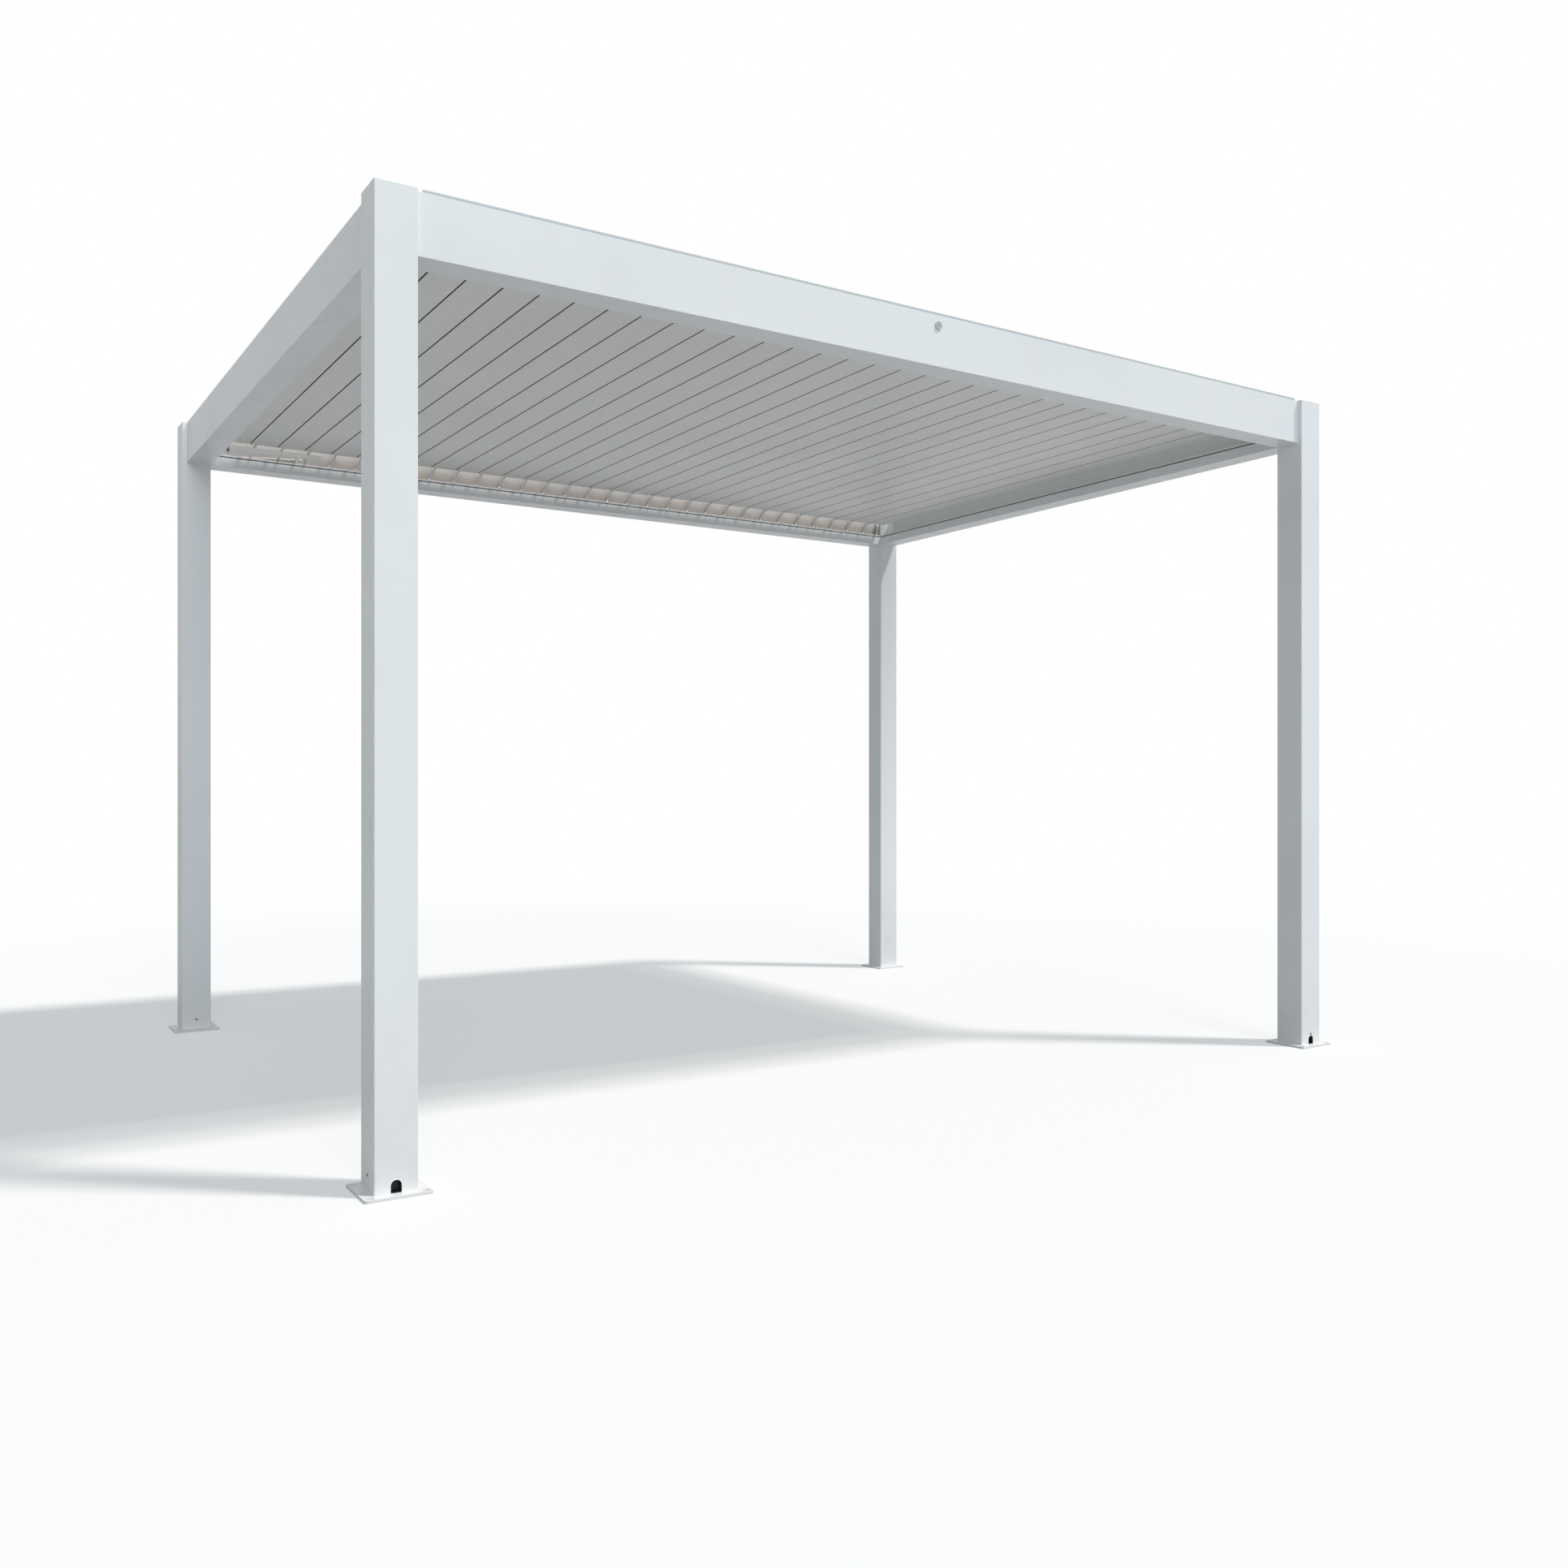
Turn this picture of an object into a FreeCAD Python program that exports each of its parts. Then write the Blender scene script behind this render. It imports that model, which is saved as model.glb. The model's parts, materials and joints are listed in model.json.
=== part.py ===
import FreeCAD, Part
import Sketcher
import os

# White aluminium pergola: four posts, a ring of gutter beams and a roof of turning louvers.
# X runs along the front to the right, Y to the back and Z up. The origin is on the floor,
# in the middle of the plan. All sizes are in millimetres.

doc = FreeCAD.newDocument("pergola")
sheet = doc.addObject("Spreadsheet::Sheet", "sizes")

SIZES = [
    # whole frame
    ("length", 4000),
    ("depth", 3000),
    ("height", 2700),
    # posts
    ("post_side", 120),
    ("post_wall", 3),
    ("post_corner", 4),
    ("cap_thick", 3),
    ("cap_plug", 12),
    ("cap_play", 0.3),
    # feet
    ("plate_side", 186),
    ("plate_thick", 8),
    ("plate_corner", 9),
    ("slot_spacing", 152),
    ("slot_width", 12),
    ("slot_length", 24),
    ("sleeve_height", 160),
    ("sleeve_wall", 5),
    ("sleeve_play", 0.3),
    ("arch_width", 30),
    ("arch_height", 35),
    # gutter beams
    ("beam_height", 175),
    ("beam_setback", 20),
    ("beam_wall", 3),
    ("beam_flange", 22),
    ("lip_top", 54),
    ("lip_thick", 6),
    ("groove_low", 41),
    ("groove_high", 47),
    ("groove_depth", 3),
    # trim strip on the front beam
    ("trim_height", 9),
    ("trim_thick", 3),
    ("trim_inset", 19),
    # louvers
    ("louver_count", 31),
    ("front_driven", 4),
    ("swing", 75),
    ("field_left", 40),
    ("field_right", 8),
    ("louver_gap", 6),
    ("louver_wall", 2),
    ("louver_box", 16),
    ("louver_upstand", 30),
    ("lap_low", 36),
    ("lap_high", 38),
    ("lap_reach", 12),
    ("louver_under", 107.5),
    ("louver_end_gap", 35),
    ("end_plate", 3),
    ("vent_in", 62),
    ("vent_wide", 24),
    ("vent_high", 5),
    # pivots and arms
    ("pivot_in", 32.5),
    ("pivot_up", 8),
    ("pin_r", 4),
    ("pin_play", 0.1),
    ("seat_gap", 0.3),
    ("arm_thick", 4),
    ("arm_half", 7),
    ("arm_back", 25),
    ("arm_drop", 56.5),
    ("arm_gap", 51),
    ("bar_gap", 2),
    ("bar_thick", 3),
    ("bar_half", 8),
    ("pin_nose", 3),
    ("pin_reach", 4),
    ("pin_tail", 2),
    # bearing rails
    ("rail_gap", 6),
    ("rail_thick", 3),
    ("rail_top", 140),
    ("rail_foot", 24),
    ("rail_end", 4),
    ("window_low", 20),
    ("window_high", 108),
    ("window_inset", 30),
    ("window_spare", 10),
    # actuator
    ("act_up", 68),
    ("act_rear", 45),
    ("act_bolt", 393),
    ("act_tilt", 4.3),
    ("tube_r", 15),
    ("tube_back", 20),
    ("tube_front", 24),
    ("front_cap_r", 16),
    ("front_cap", 14),
    ("bore_depth", 262),
    ("rod_r", 9),
    ("rod_length", 255),
    ("eye_half", 6),
    ("eye_high", 11),
    ("fork_back", 21),
    ("fork_throat", 18),
    ("fork_front", 14),
    ("fork_half", 10),
    ("fork_high", 13),
    ("fork_slot", 4),
    ("bolt_r", 4),
    ("bolt_head_r", 7),
    ("bolt_head", 3),
    ("cheek_in", 6.4),
    ("cheek_thick", 3),
    ("cheek_length", 26),
    ("cheek_top", 64),
    ("bracket_base", 4),
    # upright slot in the end plate of the long push bar
    ("yoke_half", 7.5),
    ("yoke_up", 13),
    ("yoke_down", 18),
    ("yoke_rim", 5),
    ("yoke_front", 50),
    # right end bracket of the back rail
    ("strip_right", 9),
    ("strip_lean", 9),
    ("strip_thick", 3),
    ("strip_half", 7),
    ("screw_r", 5),
    ("screw_head", 3),
    # small fittings
    ("sensor_r", 14),
    ("sensor_thick", 4),
    ("sensor_hole_r", 2.5),
    ("sensor_deep", 3),
    ("sensor_left", 60),
    ("sensor_down", 36),
    ("grommet_r", 5.5),
    ("grommet_hole_r", 3),
    ("grommet_thick", 3),
    ("grommet_in", 93),
    ("grommet_up", 102),
    ("grommet_step", 15),
]


def column_cells():
    row = 1
    for name, value in SIZES:
        sheet.set("A%d" % row, name)
        sheet.set("B%d" % row, str(value))
        sheet.setAlias("B%d" % row, name)
        row += 1


column_cells()
doc.recompute()

S = {}
for size_name, size_value in SIZES:
    S[size_name] = float(size_value)

LOUVER_COUNT = int(S["louver_count"])
FRONT_DRIVEN = int(S["front_driven"])


def ex(text):
    # Turns bare size names into references to the sheet.
    out = ""
    word = ""
    for ch in text + " ":
        if ch.isalnum() or ch == "_":
            word += ch
            continue
        out += ("sizes." + word) if word in S else word
        word = ""
        out += ch
    return out.strip()


def bind(obj, prop, text):
    obj.setExpression(prop, ex(text))


probe = doc.addObject("Part::Vertex", "probe")


def place(obj, x="0", y="0", z="0", rot=None):
    if rot is not None:
        obj.Placement = FreeCAD.Placement(FreeCAD.Vector(0, 0, 0), rot)
    bind(obj, ".Placement.Base.x", x)
    bind(obj, ".Placement.Base.y", y)
    bind(obj, ".Placement.Base.z", z)
    return obj


def box(name, lx, ly, lz, x="0", y="0", z="0"):
    obj = doc.addObject("Part::Box", name)
    bind(obj, "Length", lx)
    bind(obj, "Width", ly)
    bind(obj, "Height", lz)
    return place(obj, x, y, z)


ALONG_X = FreeCAD.Rotation(FreeCAD.Vector(0, 1, 0), 90)
ALONG_Y = FreeCAD.Rotation(FreeCAD.Vector(1, 0, 0), -90)
ALONG_Z = FreeCAD.Rotation()
# Section planes: the drawn x and y of a profile and the way it is drawn out.
RUN_Y_BACK = FreeCAD.Rotation(FreeCAD.Vector(1, 0, 0), 90)
TURN = FreeCAD.Rotation(FreeCAD.Vector(0, 0, 1), 180)
CYCLE = FreeCAD.Rotation(FreeCAD.Vector(1, 1, 1), 120)


def rod(name, r, length, x, y, z, rot):
    obj = doc.addObject("Part::Cylinder", name)
    bind(obj, "Radius", r)
    bind(obj, "Height", length)
    return place(obj, x, y, z, rot)


def peg(name, r, length, x, y, z, sides=8):
    # Small repeated rounds that lie along Y have flats, which keeps their mesh light.
    obj = doc.addObject("Part::Prism", name)
    obj.Polygon = sides
    bind(obj, "Circumradius", r)
    bind(obj, "Height", length)
    return place(obj, x, y, z, ALONG_Y)


def peg_hole(name, length, x, y, z):
    # The flats of a hole stay clear of the pin as it turns.
    return peg(name, "(pin_r + pin_play) / cos(22.5 deg)", length, x, y, z)


def round_pin(name, length, x, y, z):
    return rod(name, "pin_r", length, x, y, z, ALONG_Y)


def flat_pin(name, length, x, y, z):
    return peg(name, "pin_r", length, x, y, z)


def fuse(name, shapes):
    obj = doc.addObject("Part::MultiFuse", name)
    obj.Shapes = shapes
    obj.Refine = True
    return obj


def cut(name, base, tools):
    tool = tools[0]
    if len(tools) > 1:
        tool = doc.addObject("Part::Compound", name + "_tools")
        tool.Links = tools
    obj = doc.addObject("Part::Cut", name)
    obj.Base = base
    obj.Tool = tool
    return obj


def profile(name, points, length, rot):
    # A closed outline held by one across and one up dimension at each corner.
    body = doc.addObject("PartDesign::Body", name)
    sketch = body.newObject("Sketcher::SketchObject", name + "_outline")
    total = len(points)
    values = [(evaluate(px), evaluate(py)) for px, py in points]
    for i in range(total):
        a = FreeCAD.Vector(values[i][0], values[i][1], 0)
        b = FreeCAD.Vector(values[(i + 1) % total][0], values[(i + 1) % total][1], 0)
        sketch.addGeometry(Part.LineSegment(a, b), False)
    for i in range(total):
        sketch.addConstraint(Sketcher.Constraint("Coincident", i, 2, (i + 1) % total, 1))
    for i in range(total):
        for axis, kind, other in ((0, "DistanceX", -2), (1, "DistanceY", -1)):
            value = values[i][axis]
            if points[i][axis] == "0":
                sketch.addConstraint(Sketcher.Constraint("PointOnObject", i, 1, other))
                continue
            number = sketch.addConstraint(Sketcher.Constraint(kind, -1, 1, i, 1, value))
            sketch.setExpression("Constraints[%d]" % number, ex(points[i][axis]))
    pad = body.newObject("PartDesign::Pad", name + "_run")
    pad.Profile = sketch
    bind(pad, "Length", length)
    sketch.Visibility = False
    body.Placement = FreeCAD.Placement(FreeCAD.Vector(0, 0, 0), rot)
    return body


def evaluate(text):
    # A helper point bound to the sheet gives the number behind a written size.
    bind(probe, "X", text)
    doc.recompute([probe])
    return probe.X.Value


def finish(obj, label):
    obj.Label = label
    NODES.append(obj)
    return obj


NODES = []

INNER_X = "(length / 2 - post_side)"
INNER_Y = "(depth / 2 - post_side)"
BEAM_WIDTH = "(post_side - beam_setback)"
BEAM_BOTTOM = "(height - beam_height)"


# Posts, their feet and caps
def post(label, sx, sy):
    cx = "%d * (length / 2 - post_side / 2)" % sx
    cy = "%d * (depth / 2 - post_side / 2)" % sy
    tall = "height - plate_thick - cap_thick"
    outer = box(label + "_outer", "post_side", "post_side", tall,
                cx + " - post_side / 2", cy + " - post_side / 2", "plate_thick")
    doc.recompute([outer])
    rounded = doc.addObject("Part::Fillet", label + "_rounded")
    rounded.Base = outer
    edges = []
    for n, edge in enumerate(outer.Shape.Edges, 1):
        if abs(edge.tangentAt(edge.FirstParameter).z) > 0.99:
            edges.append((n, S["post_corner"], S["post_corner"]))
    rounded.Edges = edges
    inner = box(label + "_inner", "post_side - 2 * post_wall", "post_side - 2 * post_wall",
                tall + " + 2", cx + " - post_side / 2 + post_wall",
                cy + " - post_side / 2 + post_wall", "plate_thick - 1")
    # The drain arch is on the face that looks away from the covered space.
    arch = arch_tool(label, cx, cy, sy, "post_wall + 2", "post_side / 2 + 1")
    finish(cut(label, rounded, [inner] + arch), label)


def arch_tool(label, cx, cy, sy, deep, out):
    face_y = cy + " + %d * (%s)" % (sy, out)
    start = face_y if sy < 0 else face_y + " - (%s)" % deep
    straight = box(label + "_arch_leg", "arch_width", deep, "arch_height - arch_width / 2 + 1",
                   cx + " - arch_width / 2", start, "plate_thick - 1")
    round_top = rod(label + "_arch_top", "arch_width / 2", deep, cx, start,
                    "plate_thick + arch_height - arch_width / 2", ALONG_Y)
    return [straight, round_top]


def foot(label, sx, sy):
    cx = "%d * (length / 2 - post_side / 2)" % sx
    cy = "%d * (depth / 2 - post_side / 2)" % sy
    plate = box(label + "_plate", "plate_side", "plate_side", "plate_thick",
                cx + " - plate_side / 2", cy + " - plate_side / 2", "0")
    doc.recompute([plate])
    rounded = doc.addObject("Part::Fillet", label + "_plate_rounded")
    rounded.Base = plate
    edges = []
    for n, edge in enumerate(plate.Shape.Edges, 1):
        if abs(edge.tangentAt(edge.FirstParameter).z) > 0.99:
            edges.append((n, S["plate_corner"], S["plate_corner"]))
    rounded.Edges = edges
    side = "(post_side - 2 * post_wall - 2 * sleeve_play)"
    outer = box(label + "_sleeve_outer", side, side, "sleeve_height - plate_thick + 1",
                cx + " - %s / 2" % side, cy + " - %s / 2" % side, "plate_thick - 1")
    solid = fuse(label + "_solid", [rounded, outer])
    hole = "(%s - 2 * sleeve_wall)" % side
    tools = [box(label + "_sleeve_inner", hole, hole, "sleeve_height",
                 cx + " - %s / 2" % hole, cy + " - %s / 2" % hole, "plate_thick")]
    tools += [slot(label, cx, cy, ax, ay) for ax in (-1, 1) for ay in (-1, 1)]
    # The sleeve is open behind the whole drain arch.
    face_y = cy + " + %d * %s / 2" % (sy, side)
    start = face_y + (" - 1" if sy < 0 else " - sleeve_wall - 1")
    tools.append(box(label + "_arch_gap", "arch_width + 2", "sleeve_wall + 2",
                     "arch_height + 1", cx + " - arch_width / 2 - 1", start, "plate_thick"))
    finish(cut(label, solid, tools), label)


def slot(label, cx, cy, ax, ay):
    name = "%s_slot_%s%s" % (label, "lr"[ax > 0], "fb"[ay > 0])
    mid_x = cx + " + %d * slot_spacing / 2" % ax
    mid_y = cy + " + %d * slot_spacing / 2" % ay
    straight = "(slot_length - slot_width)"
    parts = [box(name + "_mid", straight, "slot_width", "plate_thick + 2",
                 mid_x + " - %s / 2" % straight, mid_y + " - slot_width / 2", "-1")]
    for side, sign in (("a", -1), ("b", 1)):
        parts.append(rod(name + "_end_" + side, "slot_width / 2", "plate_thick + 2",
                         mid_x + " + %d * %s / 2" % (sign, straight), mid_y, "-1", ALONG_Z))
    return fuse(name, parts)


def cap(label, sx, sy):
    cx = "%d * (length / 2 - post_side / 2)" % sx
    cy = "%d * (depth / 2 - post_side / 2)" % sy
    top = box(label + "_top", "post_side", "post_side", "cap_thick",
              cx + " - post_side / 2", cy + " - post_side / 2", "height - cap_thick")
    doc.recompute([top])
    rounded = doc.addObject("Part::Fillet", label + "_rounded")
    rounded.Base = top
    edges = []
    for n, edge in enumerate(top.Shape.Edges, 1):
        if abs(edge.tangentAt(edge.FirstParameter).z) > 0.99:
            edges.append((n, S["post_corner"], S["post_corner"]))
    rounded.Edges = edges
    side = "(post_side - 2 * post_wall - 2 * cap_play)"
    plug = box(label + "_plug", side, side, "cap_plug + 1",
               cx + " - %s / 2" % side, cy + " - %s / 2" % side, "height - cap_thick - cap_plug")
    return fuse(label + "_piece", [rounded, plug])


CORNERS = (("front_left", -1, -1), ("front_right", 1, -1), ("back_left", -1, 1),
           ("back_right", 1, 1))
cap_pieces = []
for where, side_x, side_y in CORNERS:
    post("post_" + where, side_x, side_y)
    foot("foot_" + where, side_x, side_y)
    cap_pieces.append(cap("cap_" + where, side_x, side_y))
caps = doc.addObject("Part::Compound", "post_caps")
caps.Links = cap_pieces
finish(caps, "post_caps")

# Gutter beams, drawn from the outer face inwards and from the bottom up
BEAM_OUTLINE = [
    ("0", "0"),
    (BEAM_WIDTH, "0"),
    (BEAM_WIDTH, "groove_low"),
    (BEAM_WIDTH + " - groove_depth", "groove_low"),
    (BEAM_WIDTH + " - groove_depth", "groove_high"),
    (BEAM_WIDTH, "groove_high"),
    (BEAM_WIDTH, "lip_top"),
    (BEAM_WIDTH + " - lip_thick", "lip_top"),
    (BEAM_WIDTH + " - lip_thick", "groove_low - beam_wall"),
    (BEAM_WIDTH + " - beam_wall", "groove_low - beam_wall"),
    (BEAM_WIDTH + " - beam_wall", "beam_wall"),
    ("beam_wall", "beam_wall"),
    ("beam_wall", "beam_height - beam_wall"),
    ("beam_flange", "beam_height - beam_wall"),
    ("beam_flange", "beam_height"),
    ("0", "beam_height"),
]


def beam(label, span, rot, x, y):
    piece = profile(label, BEAM_OUTLINE, span, rot)
    place(piece, x, y, BEAM_BOTTOM, rot)
    finish(piece, label)


beam("beam_front", "2 * " + INNER_X, CYCLE,
     "-" + INNER_X, "-(depth / 2 - beam_setback)")
beam("beam_back", "2 * " + INNER_X, TURN.multiply(CYCLE),
     INNER_X, "(depth / 2 - beam_setback)")
beam("beam_left", "2 * " + INNER_Y, RUN_Y_BACK,
     "-(length / 2 - beam_setback)", INNER_Y)
beam("beam_right", "2 * " + INNER_Y, TURN.multiply(RUN_Y_BACK),
     "(length / 2 - beam_setback)", "-" + INNER_Y)

finish(box("front_top_trim", "2 * (%s - trim_inset)" % INNER_X, "trim_thick", "trim_height",
           "-(%s - trim_inset)" % INNER_X, "-(depth / 2 - beam_setback)", "height"),
       "front_top_trim")

# The louver field
PITCH = "((2 * %s - field_left - field_right) / louver_count)" % INNER_X
FIELD = "(-%s + field_left)" % INNER_X
UNDER = "(%s + louver_under)" % BEAM_BOTTOM
HALF_RUN = "(%s - louver_end_gap)" % INNER_Y
BLADE = "(%s - louver_gap)" % PITCH
PIVOT_Z = "(%s + pivot_up)" % UNDER
ARM_Y = "(%s + arm_gap)" % HALF_RUN
BAR_Y = "(%s + arm_thick + bar_gap)" % ARM_Y
RAIL_Y = "(%s + bar_thick + pin_tail + rail_gap)" % BAR_Y


def pivot_x(i):
    return "(%s + %d * %s + louver_gap / 2 + pivot_in)" % (FIELD, i, PITCH)


# The blade master stands at the first place of the field.
BLADE_OUTLINE = [
    ("0", "0"),
    (BLADE, "0"),
    (BLADE, "lap_low"),
    (BLADE + " + lap_reach", "lap_low"),
    (BLADE + " + lap_reach", "lap_high"),
    (BLADE + " - louver_wall", "lap_high"),
    (BLADE + " - louver_wall", "louver_box"),
    ("louver_wall", "louver_box"),
    ("louver_wall", "louver_upstand"),
    ("0", "louver_upstand"),
]
blade_x = FIELD + " + louver_gap / 2"
blade_skin = profile("blade_skin", BLADE_OUTLINE, "2 * " + HALF_RUN, RUN_Y_BACK)
place(blade_skin, blade_x, HALF_RUN, UNDER, RUN_Y_BACK)
hollow = box("blade_hollow", BLADE + " - 2 * louver_wall", "2 * (%s - end_plate)" % HALF_RUN,
             "louver_box - 2 * louver_wall", blade_x + " + louver_wall",
             "-(%s - end_plate)" % HALF_RUN, UNDER + " + louver_wall")
vents = []
for end, sign in (("front", -1), ("back", 1)):
    start = "-(%s + 1)" % HALF_RUN if sign < 0 else "%s - end_plate - 1" % HALF_RUN
    vents.append(box("blade_vent_" + end, "vent_wide", "end_plate + 2", "vent_high",
                     blade_x + " + vent_in", start,
                     UNDER + " + (louver_box - vent_high) / 2"))
blade = cut("blade", blade_skin, [hollow] + vents)

first_pivot = pivot_x(0)
PIN_END = "(%s + rail_thick + pin_reach)" % RAIL_Y
ARM_ANGLE = "atan(arm_back / arm_drop)"
ARM_LENGTH = "sqrt(arm_back * arm_back + arm_drop * arm_drop)"


def stub(end, sign, kind):
    start = HALF_RUN + " + seat_gap" if sign > 0 else "-" + PIN_END
    return kind("pivot_stub_" + end, PIN_END + " - %s - seat_gap" % HALF_RUN, first_pivot,
                start, PIVOT_Z)


def arm(end, sign, x, link_kind):
    # A flat arm with rounded ends, hanging down to the left of its pivot.
    start = ARM_Y if sign > 0 else "-(%s + arm_thick)" % ARM_Y
    web = doc.addObject("Part::Box", "arm_web_" + end)
    bind(web, "Length", "2 * arm_half")
    bind(web, "Width", "arm_thick")
    bind(web, "Height", ARM_LENGTH)
    web.Placement = FreeCAD.Placement(FreeCAD.Vector(0, 0, 0),
                                      FreeCAD.Rotation(FreeCAD.Vector(0, 1, 0), 20))
    bind(web, ".Placement.Rotation.Angle", ARM_ANGLE)
    shift_x = "%s - arm_back - arm_half * cos(%s)" % (x, ARM_ANGLE)
    shift_z = "%s - arm_drop + arm_half * sin(%s)" % (PIVOT_Z, ARM_ANGLE)
    place(web, shift_x, start, shift_z)
    top = peg("arm_top_" + end, "arm_half", "arm_thick", x, start, PIVOT_Z)
    low = peg("arm_low_" + end, "arm_half", "arm_thick", x + " - arm_back", start,
              PIVOT_Z + " - arm_drop")
    whole = "pin_nose + arm_thick + bar_gap + bar_thick + pin_tail"
    nose = "%s - pin_nose" % ARM_Y
    link = link_kind("link_pin_" + end, whole, x + " - arm_back",
                     nose if sign > 0 else "-(%s + %s)" % (nose, whole),
                     PIVOT_Z + " - arm_drop")
    return [web, top, low, link]


def front_pivot():
    # The round front pin sets the line that the louver turns on.
    return stub("front", -1, round_pin)


def back_pivot():
    return stub("back", 1, flat_pin)


def master(name, front, back):
    # A louver is a blade with a fitting seated on each of its end plates.
    obj = doc.addObject("Part::Compound", name)
    obj.Links = [blade, front, back]
    return obj


front_fitting = fuse("front_fitting",
                     [front_pivot()] + arm("front", -1, first_pivot, flat_pin))
back_fitting = fuse("back_fitting", [back_pivot()] + arm("back", 1, first_pivot, flat_pin))
# Both push bars hang on the leading louver, which has an arm at each end.
lead_front = fuse("lead_front_fitting",
                  [front_pivot()] + arm("lead_front", -1, first_pivot, round_pin))
lead_back = fuse("lead_back_fitting",
                 [back_pivot()] + arm("lead_back", 1, first_pivot, round_pin))
louver_front_driven = master("louver_front_driven", front_fitting, back_pivot())
louver_both_driven = master("louver_both_driven", lead_front, lead_back)
louver_back_driven = master("louver_back_driven", front_pivot(), back_fitting)

for i in range(LOUVER_COUNT):
    label = "louver_%02d" % (i + 1)
    kind = louver_back_driven
    if i < FRONT_DRIVEN:
        kind = louver_front_driven
    if i == FRONT_DRIVEN:
        kind = louver_both_driven
    copy = doc.addObject("Part::Compound", label)
    copy.Links = [kind]
    place(copy, "%d * %s" % (i, PITCH), "0", "0")
    finish(copy, label)


ACT_Y = "(%s + bar_thick / 2)" % BAR_Y
ACT_Z = "(%s + act_up)" % BEAM_BOTTOM
REAR_X = "(-%s + act_rear)" % INNER_X
BOLT_X = "(-%s + act_bolt)" % INNER_X
ROD_TRAVEL = "(%s * sin(swing * 1 deg - %s) + arm_back)" % (ARM_LENGTH, ARM_ANGLE)


# Push bars: the long one at the back, the short one behind the front beam
def push_bar(label, sign, first, last):
    start = BAR_Y if sign > 0 else "-(%s + bar_thick)" % BAR_Y
    z = PIVOT_Z + " - arm_drop"
    left = pivot_x(first) + " - arm_back"
    right = pivot_x(last) + " - arm_back"
    flat_left = left + " - bar_half"
    if sign > 0:
        flat_left = BOLT_X + " + yoke_front + seat_gap"
    flat = box(label + "_flat", right + " + bar_half - (%s)" % flat_left, "bar_thick",
               "2 * bar_half", flat_left, start, z + " - bar_half")
    holes = []
    for i in range(first, last + 1):
        holes.append(peg_hole("%s_hole_%02d" % (label, i + 1), "bar_thick + 2",
                              pivot_x(i) + " - arm_back", start + " - 1", z))
    if sign < 0:
        finish(cut(label, flat, holes), label)
        return
    bar = cut(label + "_bar", flat, holes)
    # The end plate reaches back to the actuator and has an upright slot for its bolt.
    plate_left = BOLT_X + " - yoke_half - yoke_rim"
    plate = box(label + "_plate", "yoke_half + yoke_rim + yoke_front", "bar_thick",
                "yoke_up + yoke_down + 2 * yoke_rim", plate_left, start,
                ACT_Z + " - yoke_down - yoke_rim")
    slot = box(label + "_yoke", "2 * yoke_half", "bar_thick + 2", "yoke_up + yoke_down",
               BOLT_X + " - yoke_half", start + " - 1", ACT_Z + " - yoke_down")
    both = doc.addObject("Part::Compound", label)
    both.Links = [bar, cut(label + "_drive_plate", plate, [slot])]
    finish(both, label)


push_bar("push_bar_back", 1, FRONT_DRIVEN, LOUVER_COUNT - 1)
push_bar("push_bar_front", -1, 0, FRONT_DRIVEN)


# Bearing rails stand in the gutters and carry the louver pivots
def rail(label, sign):
    outline = [
        ("0", "0"),
        ("rail_foot", "0"),
        ("rail_foot", "rail_thick"),
        ("rail_thick", "rail_thick"),
        ("rail_thick", "rail_top - beam_wall"),
        ("0", "rail_top - beam_wall"),
    ]
    rot = CYCLE if sign > 0 else TURN.multiply(CYCLE)
    span = "2 * (%s - rail_end)" % INNER_X
    bar = profile(label + "_bar", outline, span, rot)
    x = "%d * (%s - rail_end)" % (-sign, INNER_X)
    y = "%d * %s" % (sign, RAIL_Y)
    place(bar, x, y, BEAM_BOTTOM + " + beam_wall", rot)
    low = "%s - 1" % RAIL_Y if sign > 0 else "-(%s + rail_thick + 1)" % RAIL_Y
    tools = []
    for i in range(LOUVER_COUNT):
        tools.append(peg_hole("%s_hole_%02d" % (label, i + 1), "rail_thick + 2",
                              pivot_x(i), low, PIVOT_Z))
    if sign > 0:
        # The actuator lies and its fork travels in this window.
        start = "-%s + window_inset" % INNER_X
        end = BOLT_X + " + fork_front + window_spare + " + ROD_TRAVEL
        tools.append(box(label + "_window", end + " - (%s)" % start, "rail_thick + 2",
                         "window_high - window_low", start, low, BEAM_BOTTOM + " + window_low"))
    finish(cut(label, bar, tools), label)


rail("bearing_rail_back", 1)
rail("bearing_rail_front", -1)


# Slanted strip with two screws that closes the back rail at its right end
def end_bracket():
    lean = "atan(strip_lean / arm_drop)"
    top_x = INNER_X + " - strip_right"
    low_x = top_x + " - strip_lean"
    low_z = PIVOT_Z + " - arm_drop"
    web = doc.addObject("Part::Box", "end_strip_web")
    bind(web, "Length", "2 * strip_half")
    bind(web, "Width", "strip_thick")
    bind(web, "Height", "sqrt(strip_lean * strip_lean + arm_drop * arm_drop)")
    web.Placement = FreeCAD.Placement(FreeCAD.Vector(0, 0, 0),
                                      FreeCAD.Rotation(FreeCAD.Vector(0, 1, 0), 20))
    bind(web, ".Placement.Rotation.Angle", lean)
    place(web, low_x + " - strip_half * cos(%s)" % lean, ARM_Y,
          low_z + " + strip_half * sin(%s)" % lean)
    parts = [web]
    for name, x, z in (("top", top_x, PIVOT_Z), ("low", low_x, low_z)):
        parts.append(peg("end_strip_" + name, "strip_half", "strip_thick", x, ARM_Y, z))
        parts.append(peg("end_head_" + name, "screw_r", "screw_head", x,
                         ARM_Y + " - screw_head", z))
        parts.append(peg("end_spacer_" + name, "pin_r", RAIL_Y + " - " + ARM_Y, x, ARM_Y, z))
    finish(fuse("end_bracket", parts), "end_bracket")


end_bracket()


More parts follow.
